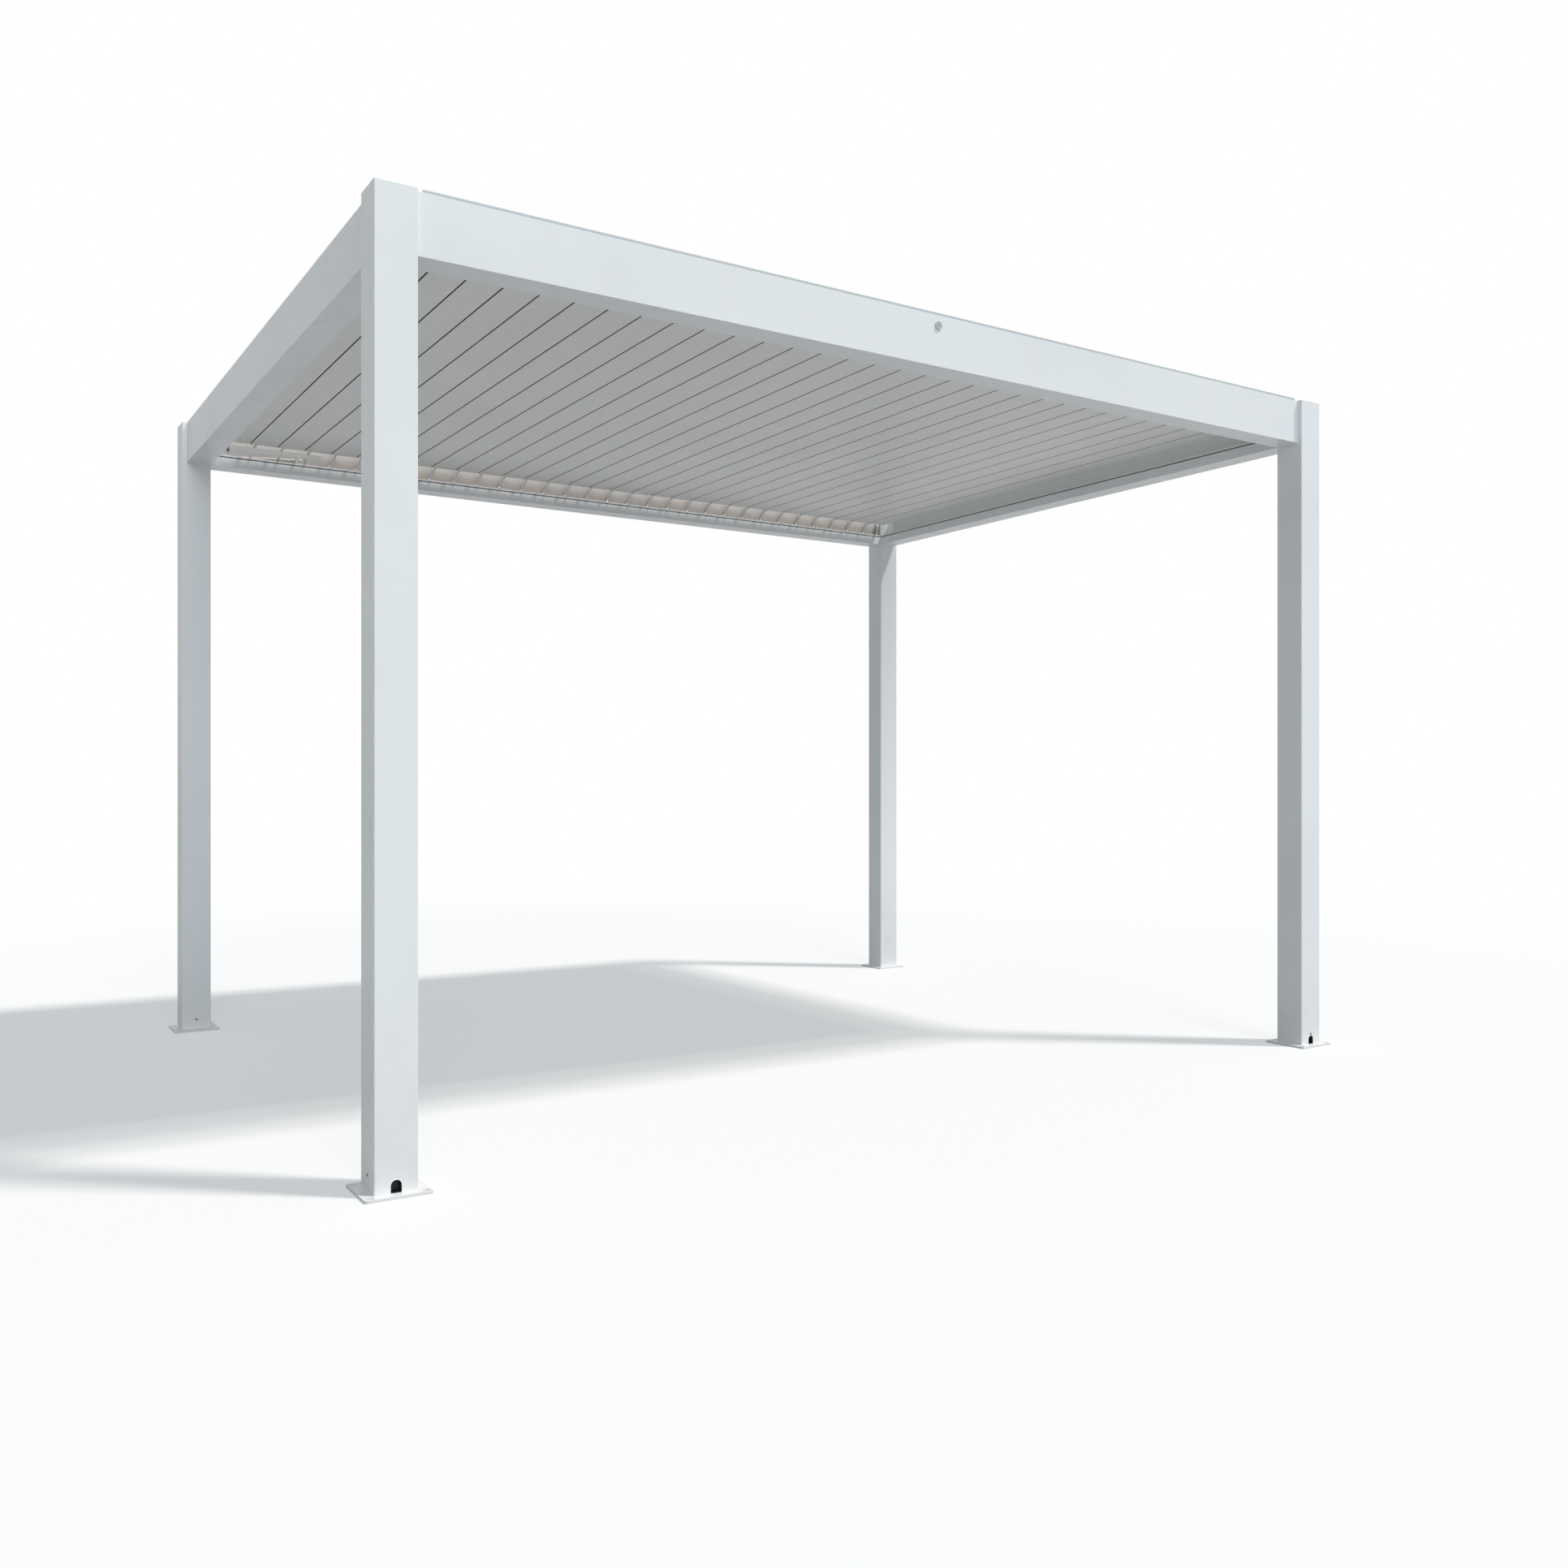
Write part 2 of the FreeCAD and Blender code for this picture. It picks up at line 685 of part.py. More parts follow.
# Actuator: a bracket on the gutter floor, a fixed tube and a sliding rod with a fork. It is
# drawn level and then turned about its bolt, because its rear end lies lower.
TILT = "(act_tilt * 1 deg)"
SPREAD = "(act_bolt - act_rear)"
PIN_X = "(%s - %s * cos(%s))" % (BOLT_X, SPREAD, TILT)
PIN_Z = "(%s - %s * sin(%s))" % (ACT_Z, SPREAD, TILT)


def tilted(level, label):
    piece = doc.addObject("Part::Compound", label)
    piece.Links = [level]
    piece.Placement = FreeCAD.Placement(FreeCAD.Vector(0, 0, 0),
                                        FreeCAD.Rotation(FreeCAD.Vector(0, -1, 0), 5))
    bind(piece, ".Placement.Rotation.Angle", TILT)
    place(piece, "%s - %s * cos(%s) + %s * sin(%s)" % (BOLT_X, BOLT_X, TILT, ACT_Z, TILT), "0",
          "%s - %s * sin(%s) - %s * cos(%s)" % (ACT_Z, BOLT_X, TILT, ACT_Z, TILT))
    finish(piece, label)


floor_z = BEAM_BOTTOM + " + beam_wall"
cheeks = []
for end, sign in (("near", -1), ("far", 1)):
    start = ACT_Y + " - cheek_in - cheek_thick" if sign < 0 else ACT_Y + " + cheek_in"
    cheeks.append(box("bracket_cheek_" + end, "cheek_length", "cheek_thick",
                      "cheek_top - beam_wall", PIN_X + " - cheek_length / 2", start, floor_z))
base = box("bracket_base_plate", "cheek_length", "2 * (cheek_in + cheek_thick)", "bracket_base",
           PIN_X + " - cheek_length / 2", ACT_Y + " - cheek_in - cheek_thick", floor_z)
rear_pin = rod("bracket_pin", "bolt_r", "2 * (cheek_in + cheek_thick)", PIN_X,
               ACT_Y + " - cheek_in - cheek_thick", PIN_Z, ALONG_Y)
finish(fuse("actuator_bracket", cheeks + [base, rear_pin]), "actuator_bracket")

tube_start = REAR_X + " + tube_back"
tube_end = BOLT_X + " - tube_front"
tube = rod("tube_body", "tube_r", tube_end + " - (%s)" % tube_start, tube_start, ACT_Y, ACT_Z,
           ALONG_X)
front_cap = rod("tube_front_cap", "front_cap_r", "front_cap", tube_end + " - front_cap", ACT_Y,
                ACT_Z, ALONG_X)
eye = box("tube_eye", "tube_back + eye_high", "2 * eye_half", "2 * eye_high",
          REAR_X + " - eye_high", ACT_Y + " - eye_half", ACT_Z + " - eye_high")
eye_hole = rod("tube_eye_hole", "bolt_r + pin_play", "2 * eye_half + 2", REAR_X,
               ACT_Y + " - eye_half - 1", ACT_Z, ALONG_Y)
bore = rod("tube_bore", "rod_r + pin_play", "bore_depth + 1", tube_end + " - bore_depth", ACT_Y,
           ACT_Z, ALONG_X)
tilted(cut("housing_level", fuse("tube_solid", [tube, front_cap, eye]), [eye_hole, bore]),
       "actuator_housing")

rod_body = rod("rod_body", "rod_r", "rod_length", BOLT_X + " - rod_length", ACT_Y, ACT_Z, ALONG_X)
fork_block = box("fork_block", "fork_back + fork_front", "2 * fork_half", "2 * fork_high",
                 BOLT_X + " - fork_back", ACT_Y + " - fork_half", ACT_Z + " - fork_high")
fork_gap = box("fork_gap", "fork_throat + fork_front + 1", "2 * fork_slot",
               "2 * fork_high + 2", BOLT_X + " - fork_throat", ACT_Y + " - fork_slot",
               ACT_Z + " - fork_high - 1")
fork = cut("fork", fuse("fork_solid", [rod_body, fork_block]), [fork_gap])
bolt = rod("fork_bolt", "bolt_r", "2 * fork_half", BOLT_X, ACT_Y + " - fork_half", ACT_Z, ALONG_Y)
bolt_face = rod("fork_bolt_face", "bolt_head_r", "bolt_head", BOLT_X,
                ACT_Y + " - fork_half - bolt_head", ACT_Z, ALONG_Y)
tilted(fuse("rod_level", [fork, bolt, bolt_face]), "actuator_rod")

# Small fittings
front_face = "-(depth / 2 - beam_setback)"
disc = peg("sensor_disc", "sensor_r", "sensor_thick", "-sensor_left",
           front_face + " - sensor_thick", "height - sensor_down", 32)
dimple = peg("sensor_hole", "sensor_hole_r", "sensor_deep + 1", "-sensor_left",
             front_face + " - sensor_thick - 1", "height - sensor_down", 12)
finish(cut("beam_sensor", disc, [dimple]), "beam_sensor")

wall_face = "(depth / 2 - beam_setback - beam_wall)"
grommets = []
for n in range(2):
    z = BEAM_BOTTOM + " + grommet_up + %d * grommet_step" % n
    x = "-%s + grommet_in" % INNER_X
    ring = peg("grommet_ring_%d" % n, "grommet_r", "grommet_thick", x,
               wall_face + " - grommet_thick", z, 16)
    eyelet = peg("grommet_hole_%d" % n, "grommet_hole_r", "grommet_thick + 1", x,
                 wall_face + " - grommet_thick - 1", z)
    grommets.append(cut("grommet_%d" % n, ring, [eyelet]))
pair = doc.addObject("Part::Compound", "cable_grommets")
pair.Links = grommets
finish(pair, "cable_grommets")

doc.removeObject("probe")
doc.recompute()

bad = []
for obj in doc.Objects:
    if "Invalid" in obj.State or "Error" in obj.State:
        bad.append(obj.Label)
for obj in NODES:
    if obj.Shape.isNull() or not obj.Shape.isValid() or len(obj.Shape.Solids) < 1:
        bad.append(obj.Label + " shape")
if bad:
    raise RuntimeError("broken pieces: " + ", ".join(bad))

os.makedirs("parts", exist_ok=True)
for obj in NODES:
    obj.Shape.exportStep("parts/%s.step" % obj.Label)
    print("%-22s solids %d  volume %.0f mm3" % (obj.Label, len(obj.Shape.Solids), obj.Shape.Volume))
print("nodes", len(NODES))
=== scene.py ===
import bmesh
import bpy
import json
import math
from mathutils import Matrix, Vector


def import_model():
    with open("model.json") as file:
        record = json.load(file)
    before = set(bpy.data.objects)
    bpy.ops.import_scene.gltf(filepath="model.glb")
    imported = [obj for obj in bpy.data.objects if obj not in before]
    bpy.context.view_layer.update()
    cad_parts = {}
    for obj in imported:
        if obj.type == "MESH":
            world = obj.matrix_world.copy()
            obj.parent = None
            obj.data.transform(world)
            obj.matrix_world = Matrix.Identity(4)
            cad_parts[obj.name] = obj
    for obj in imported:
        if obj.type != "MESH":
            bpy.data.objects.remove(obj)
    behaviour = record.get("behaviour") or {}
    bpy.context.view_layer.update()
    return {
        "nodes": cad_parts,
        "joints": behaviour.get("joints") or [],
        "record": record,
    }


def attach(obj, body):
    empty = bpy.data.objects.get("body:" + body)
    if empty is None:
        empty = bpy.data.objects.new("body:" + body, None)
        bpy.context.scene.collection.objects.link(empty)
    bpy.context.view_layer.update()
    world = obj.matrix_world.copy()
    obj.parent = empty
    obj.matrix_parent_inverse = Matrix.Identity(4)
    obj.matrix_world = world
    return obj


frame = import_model()


NODES = frame["nodes"]
JOINTS = {joint["name"]: joint for joint in frame["joints"]}
LOUVERS = sum(1 for name in NODES if name.startswith("louver_"))

# Sizes of the CAD model in metres: X along the front beam, Y to the back, Z up
HALF_LENGTH = 2.0
HALF_DEPTH = 1.5
INNER_X = 1.88
INNER_Y = 1.38
POST_X = HALF_LENGTH - 0.06
BEAM_BOTTOM = 2.525
BEAM_TOP = 2.7
PLATE_TOP = 0.008
PIVOT_Z = BEAM_BOTTOM + 0.1155

# A louver's blade and its arms, from the pivot
BLADE_LEFT = 0.0325
BLADE_DOWN = 0.008
HALF_RUN = 1.345
LINK_BACK = 0.025
LINK_DROP = 0.0565
ARM_FACE = 1.396
FRONT_DRIVEN = 4

# Shade painted by place on the object: inside the gutters, on the louvers' arms past their ends
# and on the face of the trim strip
GUTTER_SHADE = (0.65, 0.65, 0.64)
ARM_SHADE = (0.62, 0.615, 0.605)
TRIM_SHADE = (0.55, 0.585, 0.585)


# Materials
class Tree:
    # A short way to write a node material.
    def __init__(self, name):
        self.mat = bpy.data.materials.new(name)
        self.mat.use_nodes = True
        self.tree = self.mat.node_tree
        self.nodes = self.tree.nodes
        self.nodes.clear()
        self.out = self.add("ShaderNodeOutputMaterial")

    def add(self, kind, **settings):
        node = self.nodes.new(kind)
        for key, value in settings.items():
            setattr(node, key, value)
        return node

    def join(self, a, b):
        self.tree.links.new(a, b)

    def place(self):
        return self.add("ShaderNodeTexCoord").outputs["Object"]

    def xyz(self, where):
        parts = self.add("ShaderNodeSeparateXYZ")
        self.join(where, parts.inputs["Vector"])
        return parts.outputs["X"], parts.outputs["Y"], parts.outputs["Z"]

    def noise(self, space, scale, detail=3.0, rough=0.5, stretch=None):
        where = space
        if stretch is not None:
            mapping = self.add("ShaderNodeMapping")
            mapping.inputs["Scale"].default_value = stretch
            self.join(space, mapping.inputs["Vector"])
            where = mapping.outputs["Vector"]
        node = self.add("ShaderNodeTexNoise")
        node.inputs["Scale"].default_value = scale
        node.inputs["Detail"].default_value = detail
        node.inputs["Roughness"].default_value = rough
        self.join(where, node.inputs["Vector"])
        return node.outputs["Fac"]

    def steps(self, value, stops):
        ramp = self.add("ShaderNodeValToRGB")
        elements = ramp.color_ramp.elements
        for element, (place, color) in zip(elements, (stops[0], stops[-1])):
            element.position = place
            element.color = (*color, 1)
        for place, color in stops[1:-1]:
            elements.new(place).color = (*color, 1)
        self.join(value, ramp.inputs["Fac"])
        return ramp.outputs["Color"]

    def range(self, value, low, high, to_low, to_high):
        node = self.add("ShaderNodeMapRange")
        node.inputs["From Min"].default_value = low
        node.inputs["From Max"].default_value = high
        node.inputs["To Min"].default_value = to_low
        node.inputs["To Max"].default_value = to_high
        self.join(value, node.inputs["Value"])
        return node.outputs["Result"]

    def blend(self, factor, a, b):
        node = self.add("ShaderNodeMix", data_type="RGBA")
        self.join(factor, node.inputs["Factor"])
        for value, socket in ((a, node.inputs[6]), (b, node.inputs[7])):
            if hasattr(value, "default_value"):
                self.join(value, socket)
            else:
                socket.default_value = (*value, 1)
        return node.outputs[2]

    def between(self, value, low, high):
        # One inside the band from low to high and nought outside it.
        node = self.add("ShaderNodeMath", operation="COMPARE")
        self.join(value, node.inputs[0])
        node.inputs[1].default_value = (low + high) / 2
        node.inputs[2].default_value = (high - low) / 2
        return node.outputs["Value"]

    def maths(self, kind, a, b=None):
        node = self.add("ShaderNodeMath", operation=kind)
        self.join(a, node.inputs[0])
        if b is not None:
            self.join(b, node.inputs[1])
        return node.outputs["Value"]

    def bump(self, height, strength, distance):
        node = self.add("ShaderNodeBump")
        node.inputs["Strength"].default_value = strength
        node.inputs["Distance"].default_value = distance
        self.join(height, node.inputs["Height"])
        return node.outputs["Normal"]


def gutter_inside(t, where):
    # The space between the outer walls and the lips of the beams, where the gutters get a painted
    # shade.
    past_lip = 0.0055
    wall = 0.0215
    x, y, z = t.xyz(where)
    x = t.maths("ABSOLUTE", x)
    y = t.maths("ABSOLUTE", y)
    far_x = HALF_LENGTH - wall
    far_y = HALF_DEPTH - wall
    side = t.maths("MULTIPLY", t.between(x, INNER_X + past_lip, far_x), t.between(y, -1.0, far_y))
    end = t.maths("MULTIPLY", t.between(y, INNER_Y + past_lip, far_y), t.between(x, -1.0, far_x))
    height = t.between(z, BEAM_BOTTOM + 0.002, BEAM_TOP - 0.0015)
    return t.maths("MULTIPLY", t.maths("MAXIMUM", side, end), height)


def on_trim(t, where):
    # The strip on top of the front beam, apart from its upper edge; its face gets a painted
    # shade.
    x, _, z = t.xyz(where)
    x = t.maths("ABSOLUTE", x)
    return t.maths("MULTIPLY", t.between(z, BEAM_TOP + 0.0004, BEAM_TOP + 0.0068),
                   t.between(x, -1.0, INNER_X - 0.0005))


def beyond_ends(t, where):
    # The arms and pivots that lie past the ends of the louvers, which get a painted shade.
    _, y, _ = t.xyz(where)
    return t.between(t.maths("ABSOLUTE", y), HALF_RUN + 0.0005, HALF_DEPTH)


def coat(name, base, worn, rough, grain=900.0, metal=0.0, dust=None, painted_shades=()):
    # Powder coat, plastic or rubber: a fine grain and a faint cloudiness. Dust adds faint
    # upright streaks and some more low down; the last argument holds pairs of a place and the
    # colour of the shade painted there.
    t = Tree(name)
    where = t.place()
    surface = t.add("ShaderNodeBsdfPrincipled")
    color = t.steps(t.noise(where, 1.7, 4.0), [(0.3, worn), (0.52, base), (0.75, base)])
    specks = t.noise(where, 260.0, 2.0)
    color = t.blend(t.range(specks, 0.35, 0.7, 0.0, 0.22), color, worn)
    if dust:
        lines = t.noise(where, 9.0, 3.0, 0.6, (1.0, 1.0, 0.05))
        color = t.blend(t.range(lines, 0.5, 0.85, 0.0, 0.06), color, dust)
        low = t.range(t.xyz(where)[2], 0.0, 0.55, 0.55, 0.0)
        color = t.blend(t.maths("MULTIPLY", low, t.noise(where, 14.0, 4.0)), color, dust)
    # Painted shade: each place is blended towards its darker colour.
    for place, shade_color in painted_shades:
        color = t.blend(place(t, where), color, shade_color)
    t.join(color, surface.inputs["Base Color"])
    t.join(t.range(t.noise(where, 35.0, 3.0), 0.3, 0.7, rough - 0.05, rough + 0.07),
           surface.inputs["Roughness"])
    t.join(t.bump(t.noise(where, grain, 2.0), 0.35, 0.00006), surface.inputs["Normal"])
    surface.inputs["Metallic"].default_value = metal
    t.join(surface.outputs["BSDF"], t.out.inputs["Surface"])
    return t.mat


def brushed(name, base, worn, rough, stretch):
    # Bright metal with fine lines along the way it was worked.
    t = Tree(name)
    where = t.place()
    surface = t.add("ShaderNodeBsdfPrincipled")
    lines = t.noise(where, 700.0, 3.0, 0.6, stretch)
    color = t.steps(lines, [(0.3, worn), (0.6, base)])
    color = t.blend(t.range(t.noise(where, 40.0, 4.0), 0.55, 0.8, 0.0, 0.35), color, worn)
    t.join(color, surface.inputs["Base Color"])
    t.join(t.range(lines, 0.2, 0.8, rough - 0.08, rough + 0.1), surface.inputs["Roughness"])
    t.join(t.bump(lines, 0.3, 0.00005), surface.inputs["Normal"])
    surface.inputs["Metallic"].default_value = 0.85
    t.join(surface.outputs["BSDF"], t.out.inputs["Surface"])
    return t.mat


M = {
    "white_powder_coat": coat("white_powder_coat", (0.84, 0.86, 0.87), (0.80, 0.82, 0.83),
                              0.42, dust=(0.66, 0.60, 0.55),
                              painted_shades=[(gutter_inside, GUTTER_SHADE), (on_trim, TRIM_SHADE)]),
    "louver_white": coat("louver_white", (0.83, 0.83, 0.82), (0.79, 0.785, 0.775),
                         0.46, painted_shades=[(beyond_ends, ARM_SHADE)]),
    # The next two greys are partly the parts' own grey and partly painted shade: darker and
    # warmer so the gutter's parts and the actuator tube look shaded in the gutter.
    "gutter_grey": coat("gutter_grey", (0.56, 0.51, 0.47), (0.51, 0.465, 0.43), 0.55),
    "actuator_grey": coat("actuator_grey", (0.38, 0.355, 0.33), (0.33, 0.31, 0.29), 0.42,
                          metal=0.2),
    "sensor_plastic": coat("sensor_plastic", (0.50, 0.53, 0.52), (0.44, 0.47, 0.46), 0.3,
                           grain=1500.0),
    "white_plastic": coat("white_plastic", (0.95, 0.95, 0.95), (0.90, 0.90, 0.90), 0.35,
                          grain=1500.0),
    "black_rubber": coat("black_rubber", (0.012, 0.012, 0.013), (0.025, 0.025, 0.025),
                         0.55),
    "bright_fittings": brushed("bright_fittings", (0.80, 0.80, 0.79), (0.66, 0.66, 0.65), 0.34,
                               (0.05, 1.0, 1.0)),
    "dark_screw": brushed("dark_screw", (0.13, 0.12, 0.11), (0.07, 0.065, 0.06), 0.4,
                          (1.0, 1.0, 0.2)),
    "pin_white": coat("pin_white", (0.97, 0.97, 0.97), (0.93, 0.93, 0.93), 0.2,
                      grain=2500.0, metal=0.75),
    # The next material is a painted shade for the gaps between the louvers.
    "gap_shade": coat("gap_shade", (0.055, 0.045, 0.038), (0.075, 0.063, 0.055), 0.6),
    # The next material is a painted shade for the beams' grooves.
    "groove_shade": coat("groove_shade", (0.17, 0.155, 0.14), (0.20, 0.185, 0.17), 0.6),
}

for part in frame["record"]["subparts"]:
    mesh = NODES[part["node"]].data
    mesh.materials.clear()
    mesh.materials.append(M[part["material_slot"]])


# Forms of the small pieces
def piece(name, bm, material, body, smooth=True):
    mesh = bpy.data.meshes.new(name)
    bm.to_mesh(mesh)
    bm.free()
    obj = bpy.data.objects.new(name, mesh)
    bpy.context.scene.collection.objects.link(obj)
    mesh.materials.append(M[material])
    for face in mesh.polygons:
        face.use_smooth = smooth
    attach(obj, body)


def turned(outline, sides, at, axis):
    # A turned form: the outline is a list of (radius, distance along the axis).
    bm = bmesh.new()
    rings = []
    for radius, distance in outline:
        if radius == 0:
            rings.append([bm.verts.new((0, 0, distance))])
            continue
        ring = []
        for k in range(sides):
            a = 2 * math.pi * k / sides
            ring.append(bm.verts.new((radius * math.cos(a), radius * math.sin(a), distance)))
        rings.append(ring)
    for a, b in zip(rings, rings[1:]):
        for k in range(sides):
            n = (k + 1) % sides
            if len(b) == 1:
                bm.faces.new((a[k], a[n], b[0]))
            else:
                bm.faces.new((a[k], a[n], b[n], b[k]))
    bmesh.ops.recalc_face_normals(bm, faces=bm.faces)
    turn = Vector((0, 0, 1)).rotation_difference(Vector(axis)).to_matrix().to_4x4()
    bmesh.ops.transform(bm, matrix=Matrix.Translation(at) @ turn, verts=bm.verts)
    return bm


def skin(rings):
    # Rings of points joined in turn and closed by a face at each end.
    bm = bmesh.new()
    made = [[bm.verts.new(point) for point in ring] for ring in rings]
    count = len(made[0])
    for a, b in zip(made, made[1:]):
        for k in range(count):
            n = (k + 1) % count
            bm.faces.new((a[k], a[n], b[n], b[k]))
    bm.faces.new(made[0])
    bm.faces.new(made[-1][::-1])
    bmesh.ops.recalc_face_normals(bm, faces=bm.faces)
    return bm


def bar(points, start, end):
    # A straight strip along Y with the given outline in X and Z.
    return skin([[(x, y, z) for x, z in points] for y in (start, end)])


def dome(radius, height):
    # A low domed head, drawn from its flat back to the middle of its front.
    return [(radius, 0.0), (radius, height * 0.45), (radius * 0.88, height * 0.78),
            (radius * 0.6, height * 0.95), (0.0, height)]


def round_head(radius, height):
    # A head that is nearly half a ball.
    outline = [(radius, 0.0), (radius, height * 0.1)]
    for k in range(1, 5):
        a = math.radians(18 * k)
        outline.append((radius * math.cos(a), height * (0.1 + 0.9 * math.sin(a))))
    outline.append((0.0, height))
    return outline


# The bright heads of the link pins
PIN_HEAD = round_head(0.0056, 0.0052)
for n in range(1, LOUVERS + 1):
    body = "louver_%02d" % n
    x, _, z = JOINTS[body + "_tilt"]["pos_m"]
    ends = []
    if n <= FRONT_DRIVEN + 1:
        ends.append(("front", -1))
    if n > FRONT_DRIVEN:
        ends.append(("back", 1))
    for end, side in ends:
        at = Vector((x - LINK_BACK, side * ARM_FACE, z - LINK_DROP))
        piece("pin_head_%02d_%s" % (n, end), turned(PIN_HEAD, 20, at, (0, -side, 0)),
              "pin_white", body)

# Dark strips low on the left wall of every louver but the first: a painted shade for the gaps
# between the louvers
GAP_SHADE_THICK = 0.0012
GAP_SHADE_HIGH = 0.0135
GAP_SHADE_HALF = HALF_RUN - 0.001
for n in range(2, LOUVERS + 1):
    body = "louver_%02d" % n
    x, _, z = JOINTS[body + "_tilt"]["pos_m"]
    left = x - BLADE_LEFT
    low = z - BLADE_DOWN + 0.0006
    outline = [(left, low), (left - 0.0008, low), (left - GAP_SHADE_THICK, low + 0.0015),
               (left - GAP_SHADE_THICK, low + 0.012), (left - 0.0004, low + GAP_SHADE_HIGH),
               (left, low + GAP_SHADE_HIGH)]
    piece("gap_seal_%02d" % n, bar(outline, -GAP_SHADE_HALF, GAP_SHADE_HALF), "gap_shade", body,
          False)

# Dark strips in the groove of each beam, a painted shade for the groove
GROOVE_LOW = BEAM_BOTTOM + 0.0411
GROOVE_HIGH = BEAM_BOTTOM + 0.0469
STRIP_SHORT = 0.002
EDGE_X = 0.0004
EDGE_Z = 0.0008


def groove_strip(label, half, face, along_x):
    side = 1 if face > 0 else -1
    near = abs(face) + 0.0009
    far = abs(face) + 0.003
    outline = [(far, GROOVE_LOW), (near + EDGE_X, GROOVE_LOW), (near, GROOVE_LOW + EDGE_Z),
               (near, GROOVE_HIGH - EDGE_Z), (near + EDGE_X, GROOVE_HIGH), (far, GROOVE_HIGH)]
    bm = bar([(side * a, b) for a, b in outline], STRIP_SHORT - half, half - STRIP_SHORT)
    if along_x:
        quarter = Matrix.Rotation(math.radians(90), 3, "Z")
        bmesh.ops.rotate(bm, cent=(0, 0, 0), matrix=quarter, verts=bm.verts)
    piece(label, bm, "groove_shade", "frame", False)


groove_strip("groove_strip_left", INNER_Y, -INNER_X, False)
groove_strip("groove_strip_right", INNER_Y, INNER_X, False)
groove_strip("groove_strip_front", INNER_X, -INNER_Y, True)
groove_strip("groove_strip_back", INNER_X, INNER_Y, True)

# Heads of the small fixed screws: two in the slanted strip, three low on the posts, with a
# socket, and one under the left beam
STRIP_X = INNER_X - 0.009
STRIP_LEAN = 0.009
for label, x, z in (("strip_screw_top", STRIP_X, PIVOT_Z),
                    ("strip_screw_low", STRIP_X - STRIP_LEAN, PIVOT_Z - LINK_DROP)):
    piece(label, turned(PIN_HEAD, 20, Vector((x, ARM_FACE, z)), (0, -1, 0)), "pin_white",
          "frame")

POST_SCREW_Z = 0.05
POST_SCREW_HIGH = 0.0012
SOCKET = [(0.002, 0.0), (0.002, 0.0004), (0.0, 0.0004)]
for label, x, y, axis in (("post_screw_front_left", -HALF_LENGTH, -1.44, (-1, 0, 0)),
                          ("post_screw_front_right", POST_X, -HALF_DEPTH, (0, -1, 0)),
                          ("post_screw_back_left", -POST_X, INNER_Y, (0, -1, 0))):
    at = Vector((x, y, POST_SCREW_Z))
    tip = at + Vector(axis) * (POST_SCREW_HIGH - 0.0002)
    piece(label, turned(dome(0.0045, POST_SCREW_HIGH), 24, at, axis), "dark_screw", "frame")
    piece(label + "_socket", turned(SOCKET, 6, tip, axis), "black_rubber", "frame",
          False)
piece("beam_screw_left", turned(dome(0.0028, 0.0006), 24, Vector((-1.953, 1.3745, BEAM_BOTTOM)),
                                (0, 0, -1)), "dark_screw", "frame")

# Details of the actuator, drawn level and turned about its bolt like the CAD pieces
BOLT = Vector((-INNER_X + 0.393, 1.4035, BEAM_BOTTOM + 0.068))
LEAN = Matrix.Rotation(math.radians(-4.3), 3, "Y")
TUBE = 0.015
RING = TUBE + 0.0012


def collar(label, start, outline, material):
    at = BOLT + LEAN @ Vector((start, 0, 0))
    piece(label, turned(outline, 40, at, LEAN @ Vector((1, 0, 0))), material, "frame")


collar("tube_rear_ring", -0.3235, [(TUBE, 0.0), (RING, 0.0004), (RING, 0.0076), (TUBE, 0.008)],
       "actuator_grey")
collar("tube_wiper", -0.0241, [(0.0152, 0.0), (0.0146, 0.0009), (0.0112, 0.0018),
                               (0.0094, 0.0018), (0.0094, 0.0)], "black_rubber")
piece("bolt_socket", turned([(0.0028, 0.0), (0.0028, 0.0003), (0.0, 0.0003)], 6,
                            BOLT + Vector((0, -0.013, 0)), (0, -1, 0)),
      "dark_screw", "actuator_rod", False)
piece("bolt_washer", turned([(0.0045, 0.0), (0.0088, 0.0), (0.0088, 0.0009), (0.0072, 0.0012),
                             (0.0045, 0.0012)], 32, BOLT + Vector((0, -0.01, 0)), (0, -1, 0)),
      "bright_fittings", "actuator_rod")

# Pale rims of the two cable grommets
GROMMET_RIM = [(0.0072, 0.0), (0.0072, 0.0005), (0.0066, 0.0010), (0.0057, 0.0010),
               (0.0056, 0.0)]
for label, z in (("grommet_rim_low", 2.627), ("grommet_rim_high", 2.642)):
    piece(label, turned(GROMMET_RIM, 32, Vector((-1.787, 1.4768, z)), (0, -1, 0)),
          "white_plastic", "frame")

# Black liner and white rim of each post's drain arch
ARCH_HALF = 0.015
ARCH_HEIGHT = 0.035
ARCH_STEPS = 16


def arch(offset, y):
    # The arch's outline, grown or shrunk by an offset, in the plane at y.
    half = ARCH_HALF + offset
    spring = PLATE_TOP + ARCH_HEIGHT - ARCH_HALF
    low = PLATE_TOP + 0.0001 + max(-offset, 0)
    points = [(-half, y, low)]
    for k in range(ARCH_STEPS + 1):
        a = math.pi * (1 - k / ARCH_STEPS)
        points.append((half * math.cos(a), y, spring + half * math.sin(a)))
    points.append((half, y, low))
    return points


LINER = [arch(-0.0012, HALF_DEPTH - 0.026), arch(-0.0012, HALF_DEPTH - 0.001),
         arch(-0.0003, HALF_DEPTH - 0.001), arch(-0.0003, HALF_DEPTH - 0.027)]
